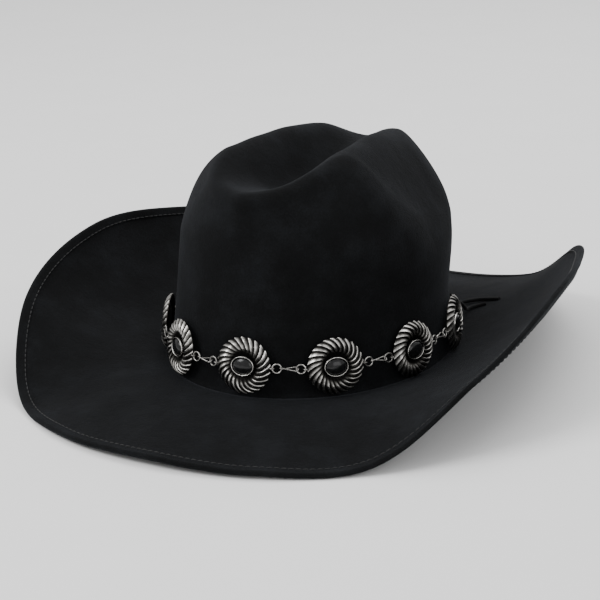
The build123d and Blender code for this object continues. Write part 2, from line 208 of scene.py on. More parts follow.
def crown_distance(x, y, z, inset, rounding):
    """About how far a point lies outside the crown set in by the inset; below 0 is inside."""
    half_width, half_length, middle = oval_at(z)
    share = np.hypot(x / half_width, (y - middle) / half_length) + 1e-9
    steep = np.hypot(x / half_width**2, (y - middle) / half_length**2) / share + 1e-9
    wall = (share - 1) / steep + inset + softness(x, y - middle, z)
    step = 1.0 * MM
    rise_x = (crown_top(x + step, y) - crown_top(x - step, y)) / (2 * step)
    rise_y = (crown_top(x, y + step) - crown_top(x, y - step)) / (2 * step)
    top = (z - crown_top(x, y)) / np.sqrt(1 + rise_x**2 + rise_y**2) + inset
    both = np.hypot(np.maximum(rounding + wall, 0), np.maximum(rounding + top, 0))
    return np.minimum(-rounding, np.maximum(wall, top)) + both


def crown_skin(inset, rounding, floor, directions=288, low_rows=34, high_rows=96):
    """Rows of points up the crown's surface, from the floor to the middle of the top."""
    turn = np.linspace(0, 2 * pi, directions, endpoint=False)[None, :]
    column = np.linspace(floor, CROWN_HEART, low_rows, endpoint=False)
    heights = np.concatenate([column, np.full(high_rows, CROWN_HEART)])
    climbs = np.concatenate([np.zeros(low_rows), np.linspace(0, LAST_CLIMB, high_rows)])
    start = heights[:, None]
    climb = climbs[:, None]
    middle = oval_at(start)[2]
    near = np.zeros((len(heights), directions))
    far = np.full_like(near, RAY_REACH)

    def at(reach):
        across = reach * np.cos(climb)
        return across * np.sin(turn), middle - across * np.cos(turn), start + reach * np.sin(climb)

    for _ in range(RAY_HALVINGS):
        half = (near + far) / 2
        inside = crown_distance(*at(half), inset, rounding) < 0
        near = np.where(inside, half, near)
        far = np.where(inside, far, half)
    return np.stack(at((near + far) / 2), -1)


def between(ends, share):
    """Value at a share of the way between two ends."""
    return ends[0] + (ends[1] - ends[0]) * share


def brim_section(turn):
    """Control points of the brim's middle line at each direction as (reach, height), and its end slopes."""
    half_width, half_length, middle = oval_at(BREAK_HEIGHT)
    side = np.where(turn > pi, 2 * pi - turn, turn)
    inner = 1 / np.hypot(np.sin(turn) / half_width, np.cos(turn) / half_length) - middle * np.cos(turn)
    reach = along(BRIM_ANGLES, BRIM_REACH, side)
    lift = along(BRIM_ANGLES, BRIM_LIFT, side)
    curl = np.clip((lift - BREAK_HEIGHT) / FULL_CURL, 0, 1)
    start = np.radians(between(SLOPE_AT_CROWN, curl))
    end = np.radians(between(SLOPE_AT_EDGE, curl))
    width = reach - inner
    hold = between(EDGE_HOLD, curl) * width
    points = np.array([
        [inner, np.full_like(inner, BREAK_HEIGHT)],
        [inner + 0.5 * width * np.cos(start), BREAK_HEIGHT + 0.5 * width * np.sin(start)],
        [reach - hold * np.cos(end), lift - hold * np.sin(end)],
        [reach, lift],
    ])
    return points, end


def in_section(turn, reach, height):
    """Points from reaches and heights in the upright planes of the directions."""
    return np.stack([reach * np.sin(turn), -reach * np.cos(turn), np.broadcast_to(height, reach.shape)], -1)


def edge_points(turn, inset, above):
    """Points inside the brim's edge by the inset, and above the middle of the felt."""
    points, end = brim_section(turn)
    reach = points[3, 0] - inset * np.cos(end) - above * np.sin(end)
    height = points[3, 1] - inset * np.sin(end) + above * np.cos(end)
    return in_section(turn, reach, height)


def brim_skin(turn, shares, above):
    """Rows of points on a surface of the brim, from the crown (share 0) to the hem (share 1)."""
    points, end = brim_section(turn)
    ahead = np.array([np.cos(end), np.sin(end)])
    points[2] = points[3] - ahead * 0.5 * HEM_WIDTH - (points[3] - points[2]) * 0.55
    points[3] = points[3] - ahead * (HEM_WIDTH - HEM_LAP)
    u = shares[:, None, None]
    line = (
        (1 - u) ** 3 * points[0]
        + 3 * u * (1 - u) ** 2 * points[1]
        + 3 * u * u * (1 - u) * points[2]
        + u**3 * points[3]
    )
    pull = (
        (1 - u) ** 2 * (points[1] - points[0])
        + 2 * u * (1 - u) * (points[2] - points[1])
        + u * u * (points[3] - points[2])
    )
    pull /= np.hypot(pull[:, 0], pull[:, 1])[:, None, :]
    reach = line[:, 0] - above * pull[:, 1]
    height = line[:, 1] + above * pull[:, 0]
    return in_section(turn[None, :], reach, height)


# ---------------------------------------------------------------- mesh helpers


def grid(points, wrap_columns=True, wrap_rows=False, close_ends=False):
    """(points, faces) of a grid of rows and columns of points."""
    rows, columns = points.shape[:2]
    i = np.arange(rows if wrap_rows else rows - 1)[:, None]
    j = np.arange(columns if wrap_columns else columns - 1)[None, :]
    after_i, after_j = (i + 1) % rows, (j + 1) % columns
    corners = [i * columns + j, i * columns + after_j, after_i * columns + after_j, after_i * columns + j]
    faces = np.stack(np.broadcast_arrays(*corners), -1).reshape(-1, 4).tolist()
    if close_ends:
        faces.append(list(range(columns)))
        faces.append(list(range((rows - 1) * columns, rows * columns)))
    return points.reshape(-1, 3), faces


def tube(path, radius, sides=10, closed=False, flat=1.0):
    """(points, faces) of a round or flattened tube along a path of points."""
    path = np.asarray(path, float)
    if closed:
        ahead = np.roll(path, -1, 0) - np.roll(path, 1, 0)
    else:
        ahead = np.gradient(path, axis=0)
    ahead /= np.linalg.norm(ahead, axis=1)[:, None]
    side = np.cross(ahead[0], (0.31, 0.22, 0.92))
    sides_at = []
    for way in ahead:
        side = side - way * side.dot(way)
        side /= np.linalg.norm(side)
        sides_at.append(side)
    sides_at = np.array(sides_at)
    upward = np.cross(ahead, sides_at)
    turn = np.linspace(0, 2 * pi, sides, endpoint=False)
    radius = np.broadcast_to(radius, len(path))[:, None, None]
    ring = sides_at[:, None] * np.cos(turn)[:, None] + upward[:, None] * np.sin(turn)[:, None] * flat
    return grid(path[:, None] + ring * radius, True, closed, not closed)


def piece(name, shapes, material, body, replaces=(), values=None):
    """One smooth object from (points, faces) pairs, riding on a body."""
    points, faces = [], []
    for shape_points, shape_faces in shapes:
        start = sum(len(p) for p in points)
        points.append(np.asarray(shape_points))
        faces += [[start + k for k in face] for face in shape_faces]
    mesh = bpy.data.meshes.new(name)
    mesh.from_pydata(np.concatenate(points).tolist(), [], faces)
    for key, numbers in (values or {}).items():
        layer = mesh.attributes.new(key, "FLOAT", "POINT")
        layer.data.foreach_set("value", np.asarray(numbers, np.float32).ravel())
    work = bmesh.new()
    work.from_mesh(mesh)
    bmesh.ops.recalc_face_normals(work, faces=work.faces)
    work.to_mesh(mesh)
    work.free()
    mesh.polygons.foreach_set("use_smooth", [True] * len(mesh.polygons))
    mesh.materials.append(material)
    made = bpy.data.objects.new(name, mesh)
    bpy.context.scene.collection.objects.link(made)
    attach(made, body)
    if replaces:
        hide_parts(*replaces)


def unevenness(points, size, amount, seed):
    """A soft random number for each point, up to the amount either way."""
    shift = Vector((seed, 2.7 * seed, -1.3 * seed))
    flat = points.reshape(-1, 3)
    values = [noise.noise(Vector(p) / size + shift) for p in flat]
    return amount * np.array(values).reshape(points.shape[:-1])


def stitches(normal, place, pitch, length, radius, around):
    """Short thread capsules along a closed line, with their ends sunk in the cloth.

    place(turn) gives the line's points and normal(turn) the directions out of the cloth.
    """
    fine = np.linspace(0, 2 * pi, around)
    line = place(fine)
    reached = np.concatenate([[0], np.cumsum(np.linalg.norm(np.diff(line, axis=0), axis=1))])
    count = int(round(reached[-1] / pitch))
    shapes = []
    share = np.linspace(-0.5, 0.5, 6)
    swell = np.array((0.35, 0.9, 1, 1, 0.9, 0.35)) * radius
    for i in range(count):
        middle = (i + 0.5) * reached[-1] / count
        turns = np.interp(middle + share * length, reached, fine)
        path = place(turns)
        sunk = (2 * np.abs(share)) ** 4 * radius
        shapes.append(tube(path - normal(turns) * sunk[:, None], swell, 8))
    return shapes


# ---------------------------------------------------------------- materials


class Look:
    """A node material: a Principled shader with its colour, roughness and bump from textures."""

    def __init__(self, name, **inputs):
        self.material = bpy.data.materials.new(name)
        self.material.use_nodes = True
        self.nodes = self.material.node_tree.nodes
        self.links = self.material.node_tree.links
        self.shader = self.nodes["Principled BSDF"]
        for key, value in inputs.items():
            self.shader.inputs[key.replace("_", " ")].default_value = value
        self.place = self.nodes.new("ShaderNodeTexCoord").outputs["Object"]

    def stretched(self, scale):
        node = self.nodes.new("ShaderNodeMapping")
        node.inputs["Scale"].default_value = scale
        self.links.new(self.place, node.inputs["Vector"])
        return node.outputs["Vector"]

    def noise(self, scale, detail=4.0, roughness=0.6, place=None):
        node = self.nodes.new("ShaderNodeTexNoise")
        node.inputs["Scale"].default_value = scale
        node.inputs["Detail"].default_value = detail
        node.inputs["Roughness"].default_value = roughness
        self.links.new(place or self.place, node.inputs["Vector"])
        return node.outputs["Fac"]

    def attribute(self, name):
        node = self.nodes.new("ShaderNodeAttribute")
        node.attribute_name = name
        return node.outputs["Fac"]

    def math(self, operation, a, b=None):
        node = self.nodes.new("ShaderNodeMath")
        node.operation = operation
        for socket, value in zip(node.inputs, (a, b)):
            if isinstance(value, (int, float)):
                socket.default_value = value
            elif value is not None:
                self.links.new(value, socket)
        return node.outputs["Value"]

    def ramp(self, factor, *stops):
        node = self.nodes.new("ShaderNodeValToRGB")
        slots = node.color_ramp.elements
        while len(slots) < len(stops):
            slots.new(0.5)
        for slot, (position, colour) in zip(slots, stops):
            slot.position = position
            slot.color = (*colour, 1)
        self.links.new(factor, node.inputs["Fac"])
        return node.outputs["Color"]

    def between(self, factor, low, high):
        node = self.nodes.new("ShaderNodeMapRange")
        node.inputs["To Min"].default_value = low
        node.inputs["To Max"].default_value = high
        self.links.new(factor, node.inputs["Value"])
        return node.outputs["Result"]

    def colour(self, socket):
        self.links.new(socket, self.shader.inputs["Base Color"])

    def roughness(self, socket):
        self.links.new(socket, self.shader.inputs["Roughness"])

    def relief(self, *layers):
        """Bump from (height, depth in metres) layers."""
        normal = None
        for height, depth in layers:
            node = self.nodes.new("ShaderNodeBump")
            node.inputs["Distance"].default_value = depth
            node.inputs["Strength"].default_value = 1.0
            self.links.new(height, node.inputs["Height"])
            if normal is not None:
                self.links.new(normal, node.inputs["Normal"])
            normal = node.outputs["Normal"]
        self.links.new(normal, self.shader.inputs["Normal"])


def grey(value, cool=0.0):
    """A grey colour, a little blue with cool above 0."""
    return (value * (1 - cool), value, value * (1 + 1.6 * cool))


def suede():
    """Black brushed suede: short nap with brushed patches and a cool sheen."""
    look = Look("black_suede", Roughness=0.95, Specular_IOR_Level=0.08, Sheen_Weight=0.05,
                Sheen_Roughness=0.38, Sheen_Tint=(0.72, 0.78, 0.9, 1))
    patches = look.noise(34, 5, 0.62)
    nap = look.noise(900, 3, 0.7)
    both = look.math("ADD", look.math("MULTIPLY", patches, 0.62), look.math("MULTIPLY", nap, 0.38))
    look.colour(look.ramp(both, (0.36, grey(0.0026, 0.03)), (0.5, grey(0.0046, 0.05)), (0.66, grey(0.0095, 0.08))))
    look.roughness(look.between(patches, 0.86, 1.0))
    fibres = look.noise(2100, 2, 0.6, look.stretched((1, 1, 0.45)))
    look.relief((patches, 0.0011), (nap, 0.00034), (fibres, 0.00016))
    return look.material


def satin():
    """Black lining satin with fine threads and soft creases, painted darker in the crease troughs and lighter on
    their crests as painted shade and painted sheen.
    """
    look = Look("lining_satin", Roughness=0.32, Specular_IOR_Level=0.5, Sheen_Weight=0.15, Anisotropic=0.5)
    creases = look.noise(60, 3, 0.5, look.stretched((1, 1, 0.35)))
    threads = look.noise(2600, 1, 0.5, look.stretched((1, 1, 0.06)))
    # Colour follows the crease relief: painted shade in the troughs and painted sheen on the crests.
    look.colour(look.ramp(creases, (0.35, grey(0.010)), (0.65, grey(0.024, 0.04))))
    look.roughness(look.between(threads, 0.26, 0.42))
    look.relief((creases, 0.0010), (threads, 0.00006))
    return look.material


def grosgrain(name, value, pitch):
    """Ribbed ribbon: ribs across its length, from the arc attribute, with fine threads. Its colour has painted
    shade in the troughs between the ribs and painted highlight on their crests, with random wear.
    """
    look = Look(name, Roughness=0.62, Specular_IOR_Level=0.35, Sheen_Weight=0.2, Sheen_Roughness=0.4)
    ribs = look.math("ABSOLUTE", look.math("SINE", look.math("MULTIPLY", look.attribute("arc"), pi / pitch)))
    wear = look.noise(120, 4)
    threads = look.noise(3400, 2)
    # Colour from the rib relief: painted shade in the troughs and painted highlight on the crests, mixed with
    # random wear tone.
    both = look.math("ADD", look.math("MULTIPLY", ribs, 0.7), look.math("MULTIPLY", wear, 0.3))
    look.colour(look.ramp(both, (0.15, grey(value * 0.45)), (0.9, grey(value * 1.3))))
    look.roughness(look.between(wear, 0.5, 0.75))
    look.relief((ribs, 0.00022), (threads, 0.00005))
    return look.material


def thread_look():
    """Twisted black sewing thread."""
    look = Look("black_thread", Roughness=0.55, Specular_IOR_Level=0.3, Sheen_Weight=0.1)
    twist = look.noise(1800, 2, 0.5, look.stretched((1, 1, 0.5)))
    look.colour(look.ramp(twist, (0.3, grey(0.004)), (0.7, grey(0.012, 0.05))))
    look.relief((twist, 0.00012))
    return look.material


def lace_look():
    """Black suede lace, matt with a fine nap."""
    look = Look("suede_lace", Roughness=0.85, Specular_IOR_Level=0.15, Sheen_Weight=0.06, Sheen_Roughness=0.4)
    nap = look.noise(1500, 4, 0.7)
    streaks = look.noise(500, 3, 0.6, look.stretched((0.4, 1, 1)))
    look.colour(look.ramp(streaks, (0.3, grey(0.003)), (0.7, grey(0.011, 0.06))))
    look.roughness(look.between(nap, 0.75, 0.95))
    look.relief((nap, 0.00025), (streaks, 0.0002))
    return look.material


def antique_silver(name, bright):
    """Cast silver colour metal with black patina in its hollows and polished crests; the darkening between the ribs
    is partly patina and partly painted shade.
    """
    look = Look(name, Metallic=1.0, Specular_IOR_Level=0.5)
    blotches = look.noise(260, 5, 0.65)
    grain = look.noise(1900, 3, 0.6)
    hollow = look.attribute("hollow")
    # Darkening: patina in the hollows and random blotches, with painted shade on the rib faces between the crests.
    patina_and_shade = look.math("ADD", hollow, look.math("MULTIPLY", look.math("SUBTRACT", blotches, 0.5), 0.9))
    silver = (bright, bright * 0.975, bright * 0.93)
    look.colour(look.ramp(patina_and_shade, (0.02, silver), (0.26, tuple(0.42 * c for c in silver)),
                          (0.52, (0.05, 0.048, 0.044)), (0.85, (0.01, 0.0095, 0.009))))
    look.roughness(look.between(patina_and_shade, 0.24, 0.6))
    look.relief((blotches, 0.00016), (grain, 0.00005))
    return look.material


def black_stone():
    """Polished black stone with faint cloudy depth."""
    look = Look("black_stone", Roughness=0.16, Specular_IOR_Level=0.34)
    clouds = look.noise(300, 4)
    look.colour(look.ramp(clouds, (0.35, grey(0.0035)), (0.7, grey(0.009, 0.05))))
    look.roughness(look.between(clouds, 0.12, 0.24))
    look.relief((clouds, 0.00003))
    return look.material


def spring_wire():
    """Drawn steel wire with fine lengthwise marks."""
    look = Look("spring_wire", Metallic=1.0)
    marks = look.noise(1400, 2, 0.5)
    look.colour(look.ramp(marks, (0.3, grey(0.34)), (0.7, grey(0.56))))
    look.roughness(look.between(marks, 0.25, 0.45))
    look.relief((marks, 0.00004))
    return look.material


def pale_floor():
    """Plain white studio paper."""
    look = Look("studio_paper", Roughness=0.9, Specular_IOR_Level=0.2)
    fibres = look.noise(12, 2)
    look.colour(look.ramp(fibres, (0.0, grey(0.86)), (1.0, grey(0.90))))
    return look.material


SUEDE = suede()
SATIN = satin()
BAND_CLOTH = grosgrain("band_grosgrain", 0.03, 1.1 * MM)
RIBBON = grosgrain("bow_ribbon", 0.024, 0.7 * MM)
THREAD = thread_look()
LACE = lace_look()
SILVER = antique_silver("antique_silver", 0.66)
STONE = black_stone()
WIRE = spring_wire()


# ---------------------------------------------------------------- crown and brim


def make_crown():
    """Moulded crown: outer and inner skins joined round the foot, flared on to the brim."""
    floor = BREAK_HEIGHT - FELT / 2
    outside = crown_skin(0, LIP_ROUNDING, floor)
    inside = crown_skin(FELT, LIP_ROUNDING - FELT, floor)
    above_foot = np.clip(outside[..., 2] - (BREAK_HEIGHT + FELT / 2), 0, FOOT_FLARE)
    flare = FOOT_FLARE - np.sqrt(FOOT_FLARE**2 - (FOOT_FLARE - above_foot) ** 2)
    reach = np.hypot(outside[..., 0], outside[..., 1])
    outside[..., :2] *= (1 + 0.6 * flare / np.maximum(reach, 1 * MM))[..., None]
    fade = np.clip(reach / (12 * MM), 0, 1)
    outside *= (1 + unevenness(outside, 26 * MM, 0.35 * MM, SEED) * fade / 0.09)[..., None]
    section = np.concatenate([outside[::-1], inside])
    piece("crown_felt", [grid(section, close_ends=True)], SUEDE, "hat", ["crown_shell"])


def make_brim():
    """Brim: one curled sheet of felt, slightly uneven as steamed felt is."""
    turn = np.linspace(0, 2 * pi, 360, endpoint=False)
    shares = np.linspace(0, 1, 46)
    over = brim_skin(turn, shares, FELT / 2)
    under = brim_skin(turn, shares, -FELT / 2)
    lift = unevenness(over, 40 * MM, 0.35 * MM, SEED + 3) * np.sin(pi * shares)[:, None]
    over[..., 2] += lift
    under[..., 2] += lift
    section = np.concatenate([over, under[::-1]])
    piece("brim_felt", [grid(section, True, True)], SUEDE, "hat", ["brim"])


def hem_profile():
    """Closed outline of the folded hem, as (inset, above) pairs, rounded at the fold and tucked in."""
    half = HEM_THICKNESS / 2
    fold = [(half - half * cos(a), half * sin(a)) for a in np.linspace(pi / 2, -pi / 2, 13)]
    tuck = [(HEM_WIDTH - 0.25 * MM, -half + 0.2 * MM), (HEM_WIDTH, -half + 0.9 * MM),
            (HEM_WIDTH, half - 0.9 * MM), (HEM_WIDTH - 0.25 * MM, half - 0.2 * MM)]
    flat = np.linspace(HEM_WIDTH - 0.7 * MM, half + 0.6 * MM, 6)
    return ([(inset, half) for inset in flat] + fold + [(inset, -half) for inset in flat[::-1]] + tuck)


def make_hem():
    """Folded hem that puckers a little between its stitches."""
    turn = np.linspace(0, 2 * pi, 1200, endpoint=False)
    stitch_count = 290
    rows = []
    for inset, above in hem_profile():
        near_seam = np.exp(-(((inset - STITCH_INSET) / (1.3 * MM)) ** 2))
        pucker = near_seam * 0.16 * MM * (0.5 + 0.5 * np.cos(stitch_count * turn))
        wave = 0.12 * MM * np.sin(37 * turn + 400 * inset)
        rows.append(edge_points(turn, inset, np.sign(above) * (abs(above) - pucker) + 0.4 * wave))
    piece("hem_fold", [grid(np.stack(rows), True, True)], SUEDE, "hat", ["brim_hem"])


def section_normal(turn):
    """Upward normals of the brim's edge at the directions."""
    end = brim_section(turn)[1]
    return in_section(turn, -np.sin(end), np.cos(end))


def make_hem_stitching():
    """Two rows of short stitches through the hem, one on top and one underneath."""
    level = HEM_THICKNESS / 2 + 0.5 * THREAD_RADIUS
    size = (4.1 * MM, 3.3 * MM, 1.15 * THREAD_RADIUS, 2400)  # pitch, length, radius, steps round the hat
    above = stitches(section_normal, lambda t: edge_points(t, STITCH_INSET, level), *size)
    below = stitches(lambda t: -section_normal(t), lambda t: edge_points(t, STITCH_INSET, -level), *size)
    piece("hem_stitches", above + below, THREAD, "hat", ["hem_stitching"])


# ---------------------------------------------------------------- inside of the crown


def oval_points(turn, height, inset):
    """Points round the crown's oval at a height."""
    half_width, half_length, middle = oval_at(height, inset)
    return np.stack(np.broadcast_arrays(half_width * np.sin(turn), middle - half_length * np.cos(turn), height), -1)


def make_lining():
    """Satin bag with soft pleats that die out towards its top."""
    floor = BAND_TOP + 0.2 * MM
    skins = []
    for inset in (LINING_INSET, LINING_INSET + LINING_THICKNESS):
        skin = crown_skin(inset, LIP_ROUNDING - FELT, floor, directions=8 * PLEATS, low_rows=14, high_rows=60)
        turn = np.linspace(0, 2 * pi, 8 * PLEATS, endpoint=False)
        strength = np.clip((130 * MM - skin[..., 2]) / (80 * MM), 0, 1) ** 0.8
        depth = 0.9 * MM * strength * (0.5 + 0.5 * np.cos(PLEATS * turn + 1.5 * np.sin(3 * turn)))
        reach = np.hypot(skin[..., 0], skin[..., 1])
        skin[..., :2] *= (1 - depth / np.maximum(reach, 5 * MM))[..., None]
        skins.append(skin)
    section = np.concatenate([skins[0][::-1], skins[1]])
    piece("satin_lining", [grid(section, close_ends=True)], SATIN, "hat", ["crown_lining"])


def band_strip(name, bottom, top, inset, thickness, material, node, wave):
    """Soft band round the inside of the crown, with rounded edges and a slightly wavy top."""
    turn = np.linspace(0, 2 * pi, 480, endpoint=False)
    half = thickness / 2
    rise = np.linspace(bottom + half, top - half, 16)
    outline = [(z, 0.0) for z in rise]
    outline += [(top - half + half * sin(a), half - half * cos(a)) for a in np.linspace(0.2, pi - 0.2, 7)]
    outline += [(z, thickness) for z in rise[::-1]]
    outline += [(bottom + half - half * sin(a), half + half * cos(a)) for a in np.linspace(0.2, pi - 0.2, 7)]
    rows = []
    for z, depth in outline:
        share = (z - bottom) / (top - bottom)
        sway = wave * share**2 * (0.5 + 0.3 * np.sin(9 * turn) + 0.2 * np.sin(23 * turn))
        rows.append(oval_points(turn, z, inset + depth + sway))
    arc = np.tile(turn * (OVAL_HALF_WIDTH + OVAL_HALF_LENGTH) / 2, len(outline))
    piece(name, [grid(np.stack(rows), True, True)], material, "hat", [node], {"arc": arc})


def inward(turn):
    """Level directions towards the middle of the hat, out of the sweatband's face."""
    return in_section(turn, np.full_like(turn, -1.0), 0.0)


def make_sweatband():
    """Grosgrain-faced sweatband, its piped lower edge and the stitching above it."""
    band_strip("sweatband_cloth", BAND_BOTTOM, BAND_TOP, BAND_INSET, BAND_THICKNESS, BAND_CLOTH,
               "sweatband", 0.3 * MM)
    turn = np.linspace(0, 2 * pi, 360, endpoint=False)
    reed_inset = BAND_INSET + BAND_THICKNESS + 1.0 * MM
    piping = tube(oval_points(turn, BAND_BOTTOM + 0.9 * MM, reed_inset), 0.9 * MM, 12, True)
    arc = np.repeat(turn * (OVAL_HALF_WIDTH + OVAL_HALF_LENGTH) / 2, 12)
    piece("reed_piping", [piping], RIBBON, "hat", ["sweatband_reed"], {"arc": arc})
    sewn = []
    for height in (BAND_BOTTOM + 3.6 * MM, BAND_TOP - 3.0 * MM):
        seam_inset = BAND_INSET + BAND_THICKNESS + (0.35 * MM if height > 0.5 * BAND_TOP else 0.05 * MM)
        sewn += stitches(inward, lambda t, z=height, d=seam_inset: oval_points(t, z, d),
                         3.2 * MM, 2.4 * MM, 0.22 * MM, 2000)
    piece("sweatband_stitches", sewn, THREAD, "hat")


def make_bow():
    """Small flat ribbon bow at the back seam of the sweatband: two loops and a knot."""
    low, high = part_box("sweatband_bow")
    centre = np.array((low + high) / 2)
    width, tall, thick = high.x - low.x, high.z - low.z, high.y - low.y
    shapes, arcs = [], []
    for side in (-1, 1):
        share = np.linspace(0, 1, 15)
        swing = np.sin(pi * share)
        x = side * 0.5 * width * swing**0.8
        y = 0.36 * thick * np.cos(pi * share)
        z = 0.16 * tall * (share - 0.5)
        spread = 0.24 * tall * (0.45 + 0.75 * swing)
        line = np.stack([x, y, z], -1)
        strip = np.stack([line + np.outer(spread * k, (0, 0, 1)) for k in (-1, -0.33, 0.33, 1)], 1)
        back = strip + np.array((0, 0.12 * thick, 0))
        loop = np.concatenate([strip, back[:, ::-1]], 1) + centre
        shapes.append(grid(loop, True, False, True))
        arcs += list(np.repeat(share * width, loop.shape[1]))
    turn = np.linspace(0, 2 * pi, 24, endpoint=False)
    rows = []
    for share in np.linspace(-1, 1, 7):
        swell = 1 - 0.35 * share**4
        x = 0.11 * width * swell * np.cos(turn)
        y = 0.5 * thick * swell * np.sin(turn)
        rows.append(centre + np.stack([x, y, np.full_like(turn, 0.26 * tall * share)], -1))
    shapes.append(grid(np.stack(rows), True, False, True))
    arcs += [0.0] * (len(rows) * len(turn))
    piece("back_bow", shapes, RIBBON, "hat", ["sweatband_bow"], {"arc": arcs})


# ---------------------------------------------------------------- concho chain


class Seat:
    """Place of a concho: its point on the chain line, with axes along the chain, up and outward."""

    def __init__(self, joint):
        self.body = joint["child"]
        self.number = self.body[-2:]
        self.origin = np.array(joint["pos_m"])
        self.ahead = np.array(joint["axis"]) / np.linalg.norm(joint["axis"])
        outward = np.array((self.ahead[1], -self.ahead[0], 0.0))
        face = outward + np.array((0, 0, WALL_TAPER - CROWN_LEAN * outward[1]))
        self.face = face / np.linalg.norm(face)
        self.up = np.cross(self.face, self.ahead)

    def place(self, local):
        """Points in the hat's frame from local ones measured from the concho's back."""
        axes = np.stack([self.ahead, self.up, self.face])
        return np.asarray(local) @ axes + self.origin - self.face * CHAIN_LEVEL

    def eyelet(self, side):
        """Middle of an eyelet on the chain line."""
        return self.origin + self.ahead * (side * EYELET_REACH)


def concho_relief():
    """Local points, faces and hollow values of the stamped plate: swirled, overlapping ribs and a scalloped rim.
    The hollow values darken the rib faces between the crests, partly as patina and partly as painted shade.
    """
    rib = np.array((0.0, 0.07, 0.17, 0.29, 0.42, 0.55, 0.66, 0.74, 0.81, 0.88, 0.94))
    height = np.where(rib < 0.74, (rib / 0.74) ** 0.85, 1 - (np.clip(rib - 0.74, 0, 1) / 0.26) ** 1.2)
    crest = np.tile(height, RIBS)
    turn = 2 * pi / RIBS * (np.arange(RIBS)[:, None] + rib[None, :]).ravel()
    radii = np.array((0.2, 4, 7, 7.9, 8.2, 8.6, 9.1, 9.7, 10.4, 11.2, 12.0, 12.8, 13.6, 14.4, 15.1, 15.8, 16.4,
                      16.9, 17.3, 17.6, 17.8)) * MM
    knots = np.array((0, 7.8, 8.4, 10.2, 12.6, 15.2, 17.0, 17.8)) * MM
    levels = np.array((1.9, 1.9, 2.4, 3.7, 4.35, 3.6, 2.1, 1.3)) * MM
    share = np.clip((radii - 8.0 * MM) / (9.8 * MM), 0, 1)
    swirl = radians(25) * share**1.45
    cut = np.interp(radii, np.array((7.9, 9.2, 12.6, 16, 17.8)) * MM, np.array((0, 0.9, 1.3, 1.1, 0.5)) * MM)
    rows, hollows = [], []
    for radius, turned, depth, out in zip(radii, swirl, cut, share):
        level = along(knots, levels, np.array(radius)) - depth * (1 - crest)
        reach = radius - 0.8 * MM * out**5 * (1 - crest)
        rows.append(np.stack([reach * np.cos(turn + turned), reach * np.sin(turn + turned), level], -1))
        # Rib faces away from the crests are darkened: partly patina in the grooves, partly painted shade.
        ribbed = (1 - crest) ** 1.1 * np.clip(depth / (0.6 * MM), 0, 1)
        moat = 1.0 if radius < 8.5 * MM else np.exp(-((radius - 8.5 * MM) / (1.6 * MM)))
        hollows.append(np.maximum(ribbed, moat) * np.ones_like(turn))
    back = ((17.8, 0.35), (17.3, 0.0), (16.4, 0.7), (14.8, 2.0), (12.6, 2.3), (10.4, 1.6), (9.0, 0.8), (0.2, 0.8))
    for radius, level in back:
        reach = radius * MM - 0.8 * MM * (radius / 17.8) ** 20 * (1 - crest)
        rows.append(np.stack([reach * np.cos(turn + swirl[-1]), reach * np.sin(turn + swirl[-1]),
                              np.full_like(turn, level * MM)], -1))
        hollows.append(np.full_like(turn, 0.55))
    points, faces = grid(np.stack(rows), True, False, True)
    return points, faces, np.concatenate(hollows)


def bezel_ring():
    """Local points, faces and hollow values of the oval wall that holds the stone."""
    turn = np.linspace(0, 2 * pi, 96, endpoint=False)
    outline = ((0, 1.7), (0, 3.2), (0.08, 3.65), (0.3, 3.9), (0.55, 3.75), (0.7, 3.3), (0.7, 1.7))
    rows, hollows = [], []
    for inset, level in outline:
        a, b = BEZEL_HALF[0] - inset * MM, BEZEL_HALF[1] - inset * MM
        rows.append(np.stack([a * np.cos(turn), b * np.sin(turn), np.full_like(turn, level * MM)], -1))
        hollows.append(np.full_like(turn, 0.9 if level < 2 else 0.05))
    points, faces = grid(np.stack(rows), True, True)
    return points, faces, np.concatenate(hollows)


def ring_path(centre, across, upward, radius, gap=0.0, steps=40):
    """Points round a wire ring."""
    turn = np.linspace(gap, 2 * pi - gap, steps, endpoint=gap > 0)[:, None]
    return centre + radius * (np.cos(turn) * across + np.sin(turn) * upward)


def make_concho(seat, relief, bezel):
    """Plate with its bezel and two eyelets, and the stone."""
    shapes, hollow = [], []
    for points, faces, hollows in (relief, bezel):
        shapes.append((seat.place(points), faces))
        hollow.append(hollows)
    for side in (-1, 1):
        path = ring_path(seat.eyelet(side), seat.ahead, seat.face, EYELET_RADIUS, steps=28)
        points, faces = tube(path, 0.45 * MM, 10, True)
        shapes.append((points, faces))
        hollow.append(np.full(len(points), 0.3))
    piece(f"concho_plate_{seat.number}.silver", shapes, SILVER, seat.body,
          [f"concho_{seat.number}"], {"hollow": np.concatenate(hollow)})
    turn = np.linspace(0, 2 * pi, 64, endpoint=False)
    rows = []
    half_x, half_y = BEZEL_HALF[0] - BEZEL_WALL, BEZEL_HALF[1] - BEZEL_WALL
    for climb in np.linspace(0, 0.495 * pi, 16):
        reach = cos(climb) ** 0.9
        level = CABOCHON_BASE + (CABOCHON_TOP - CABOCHON_BASE) * sin(climb)
        rows.append(np.stack([half_x * reach * np.cos(turn), half_y * reach * np.sin(turn),
                              np.full_like(turn, level)], -1))
    points, faces = grid(np.stack(rows), True, False, True)
    piece(f"stone_{seat.number}", [(seat.place(points), faces)], STONE, seat.body,
          [f"cabochon_{seat.number}"])


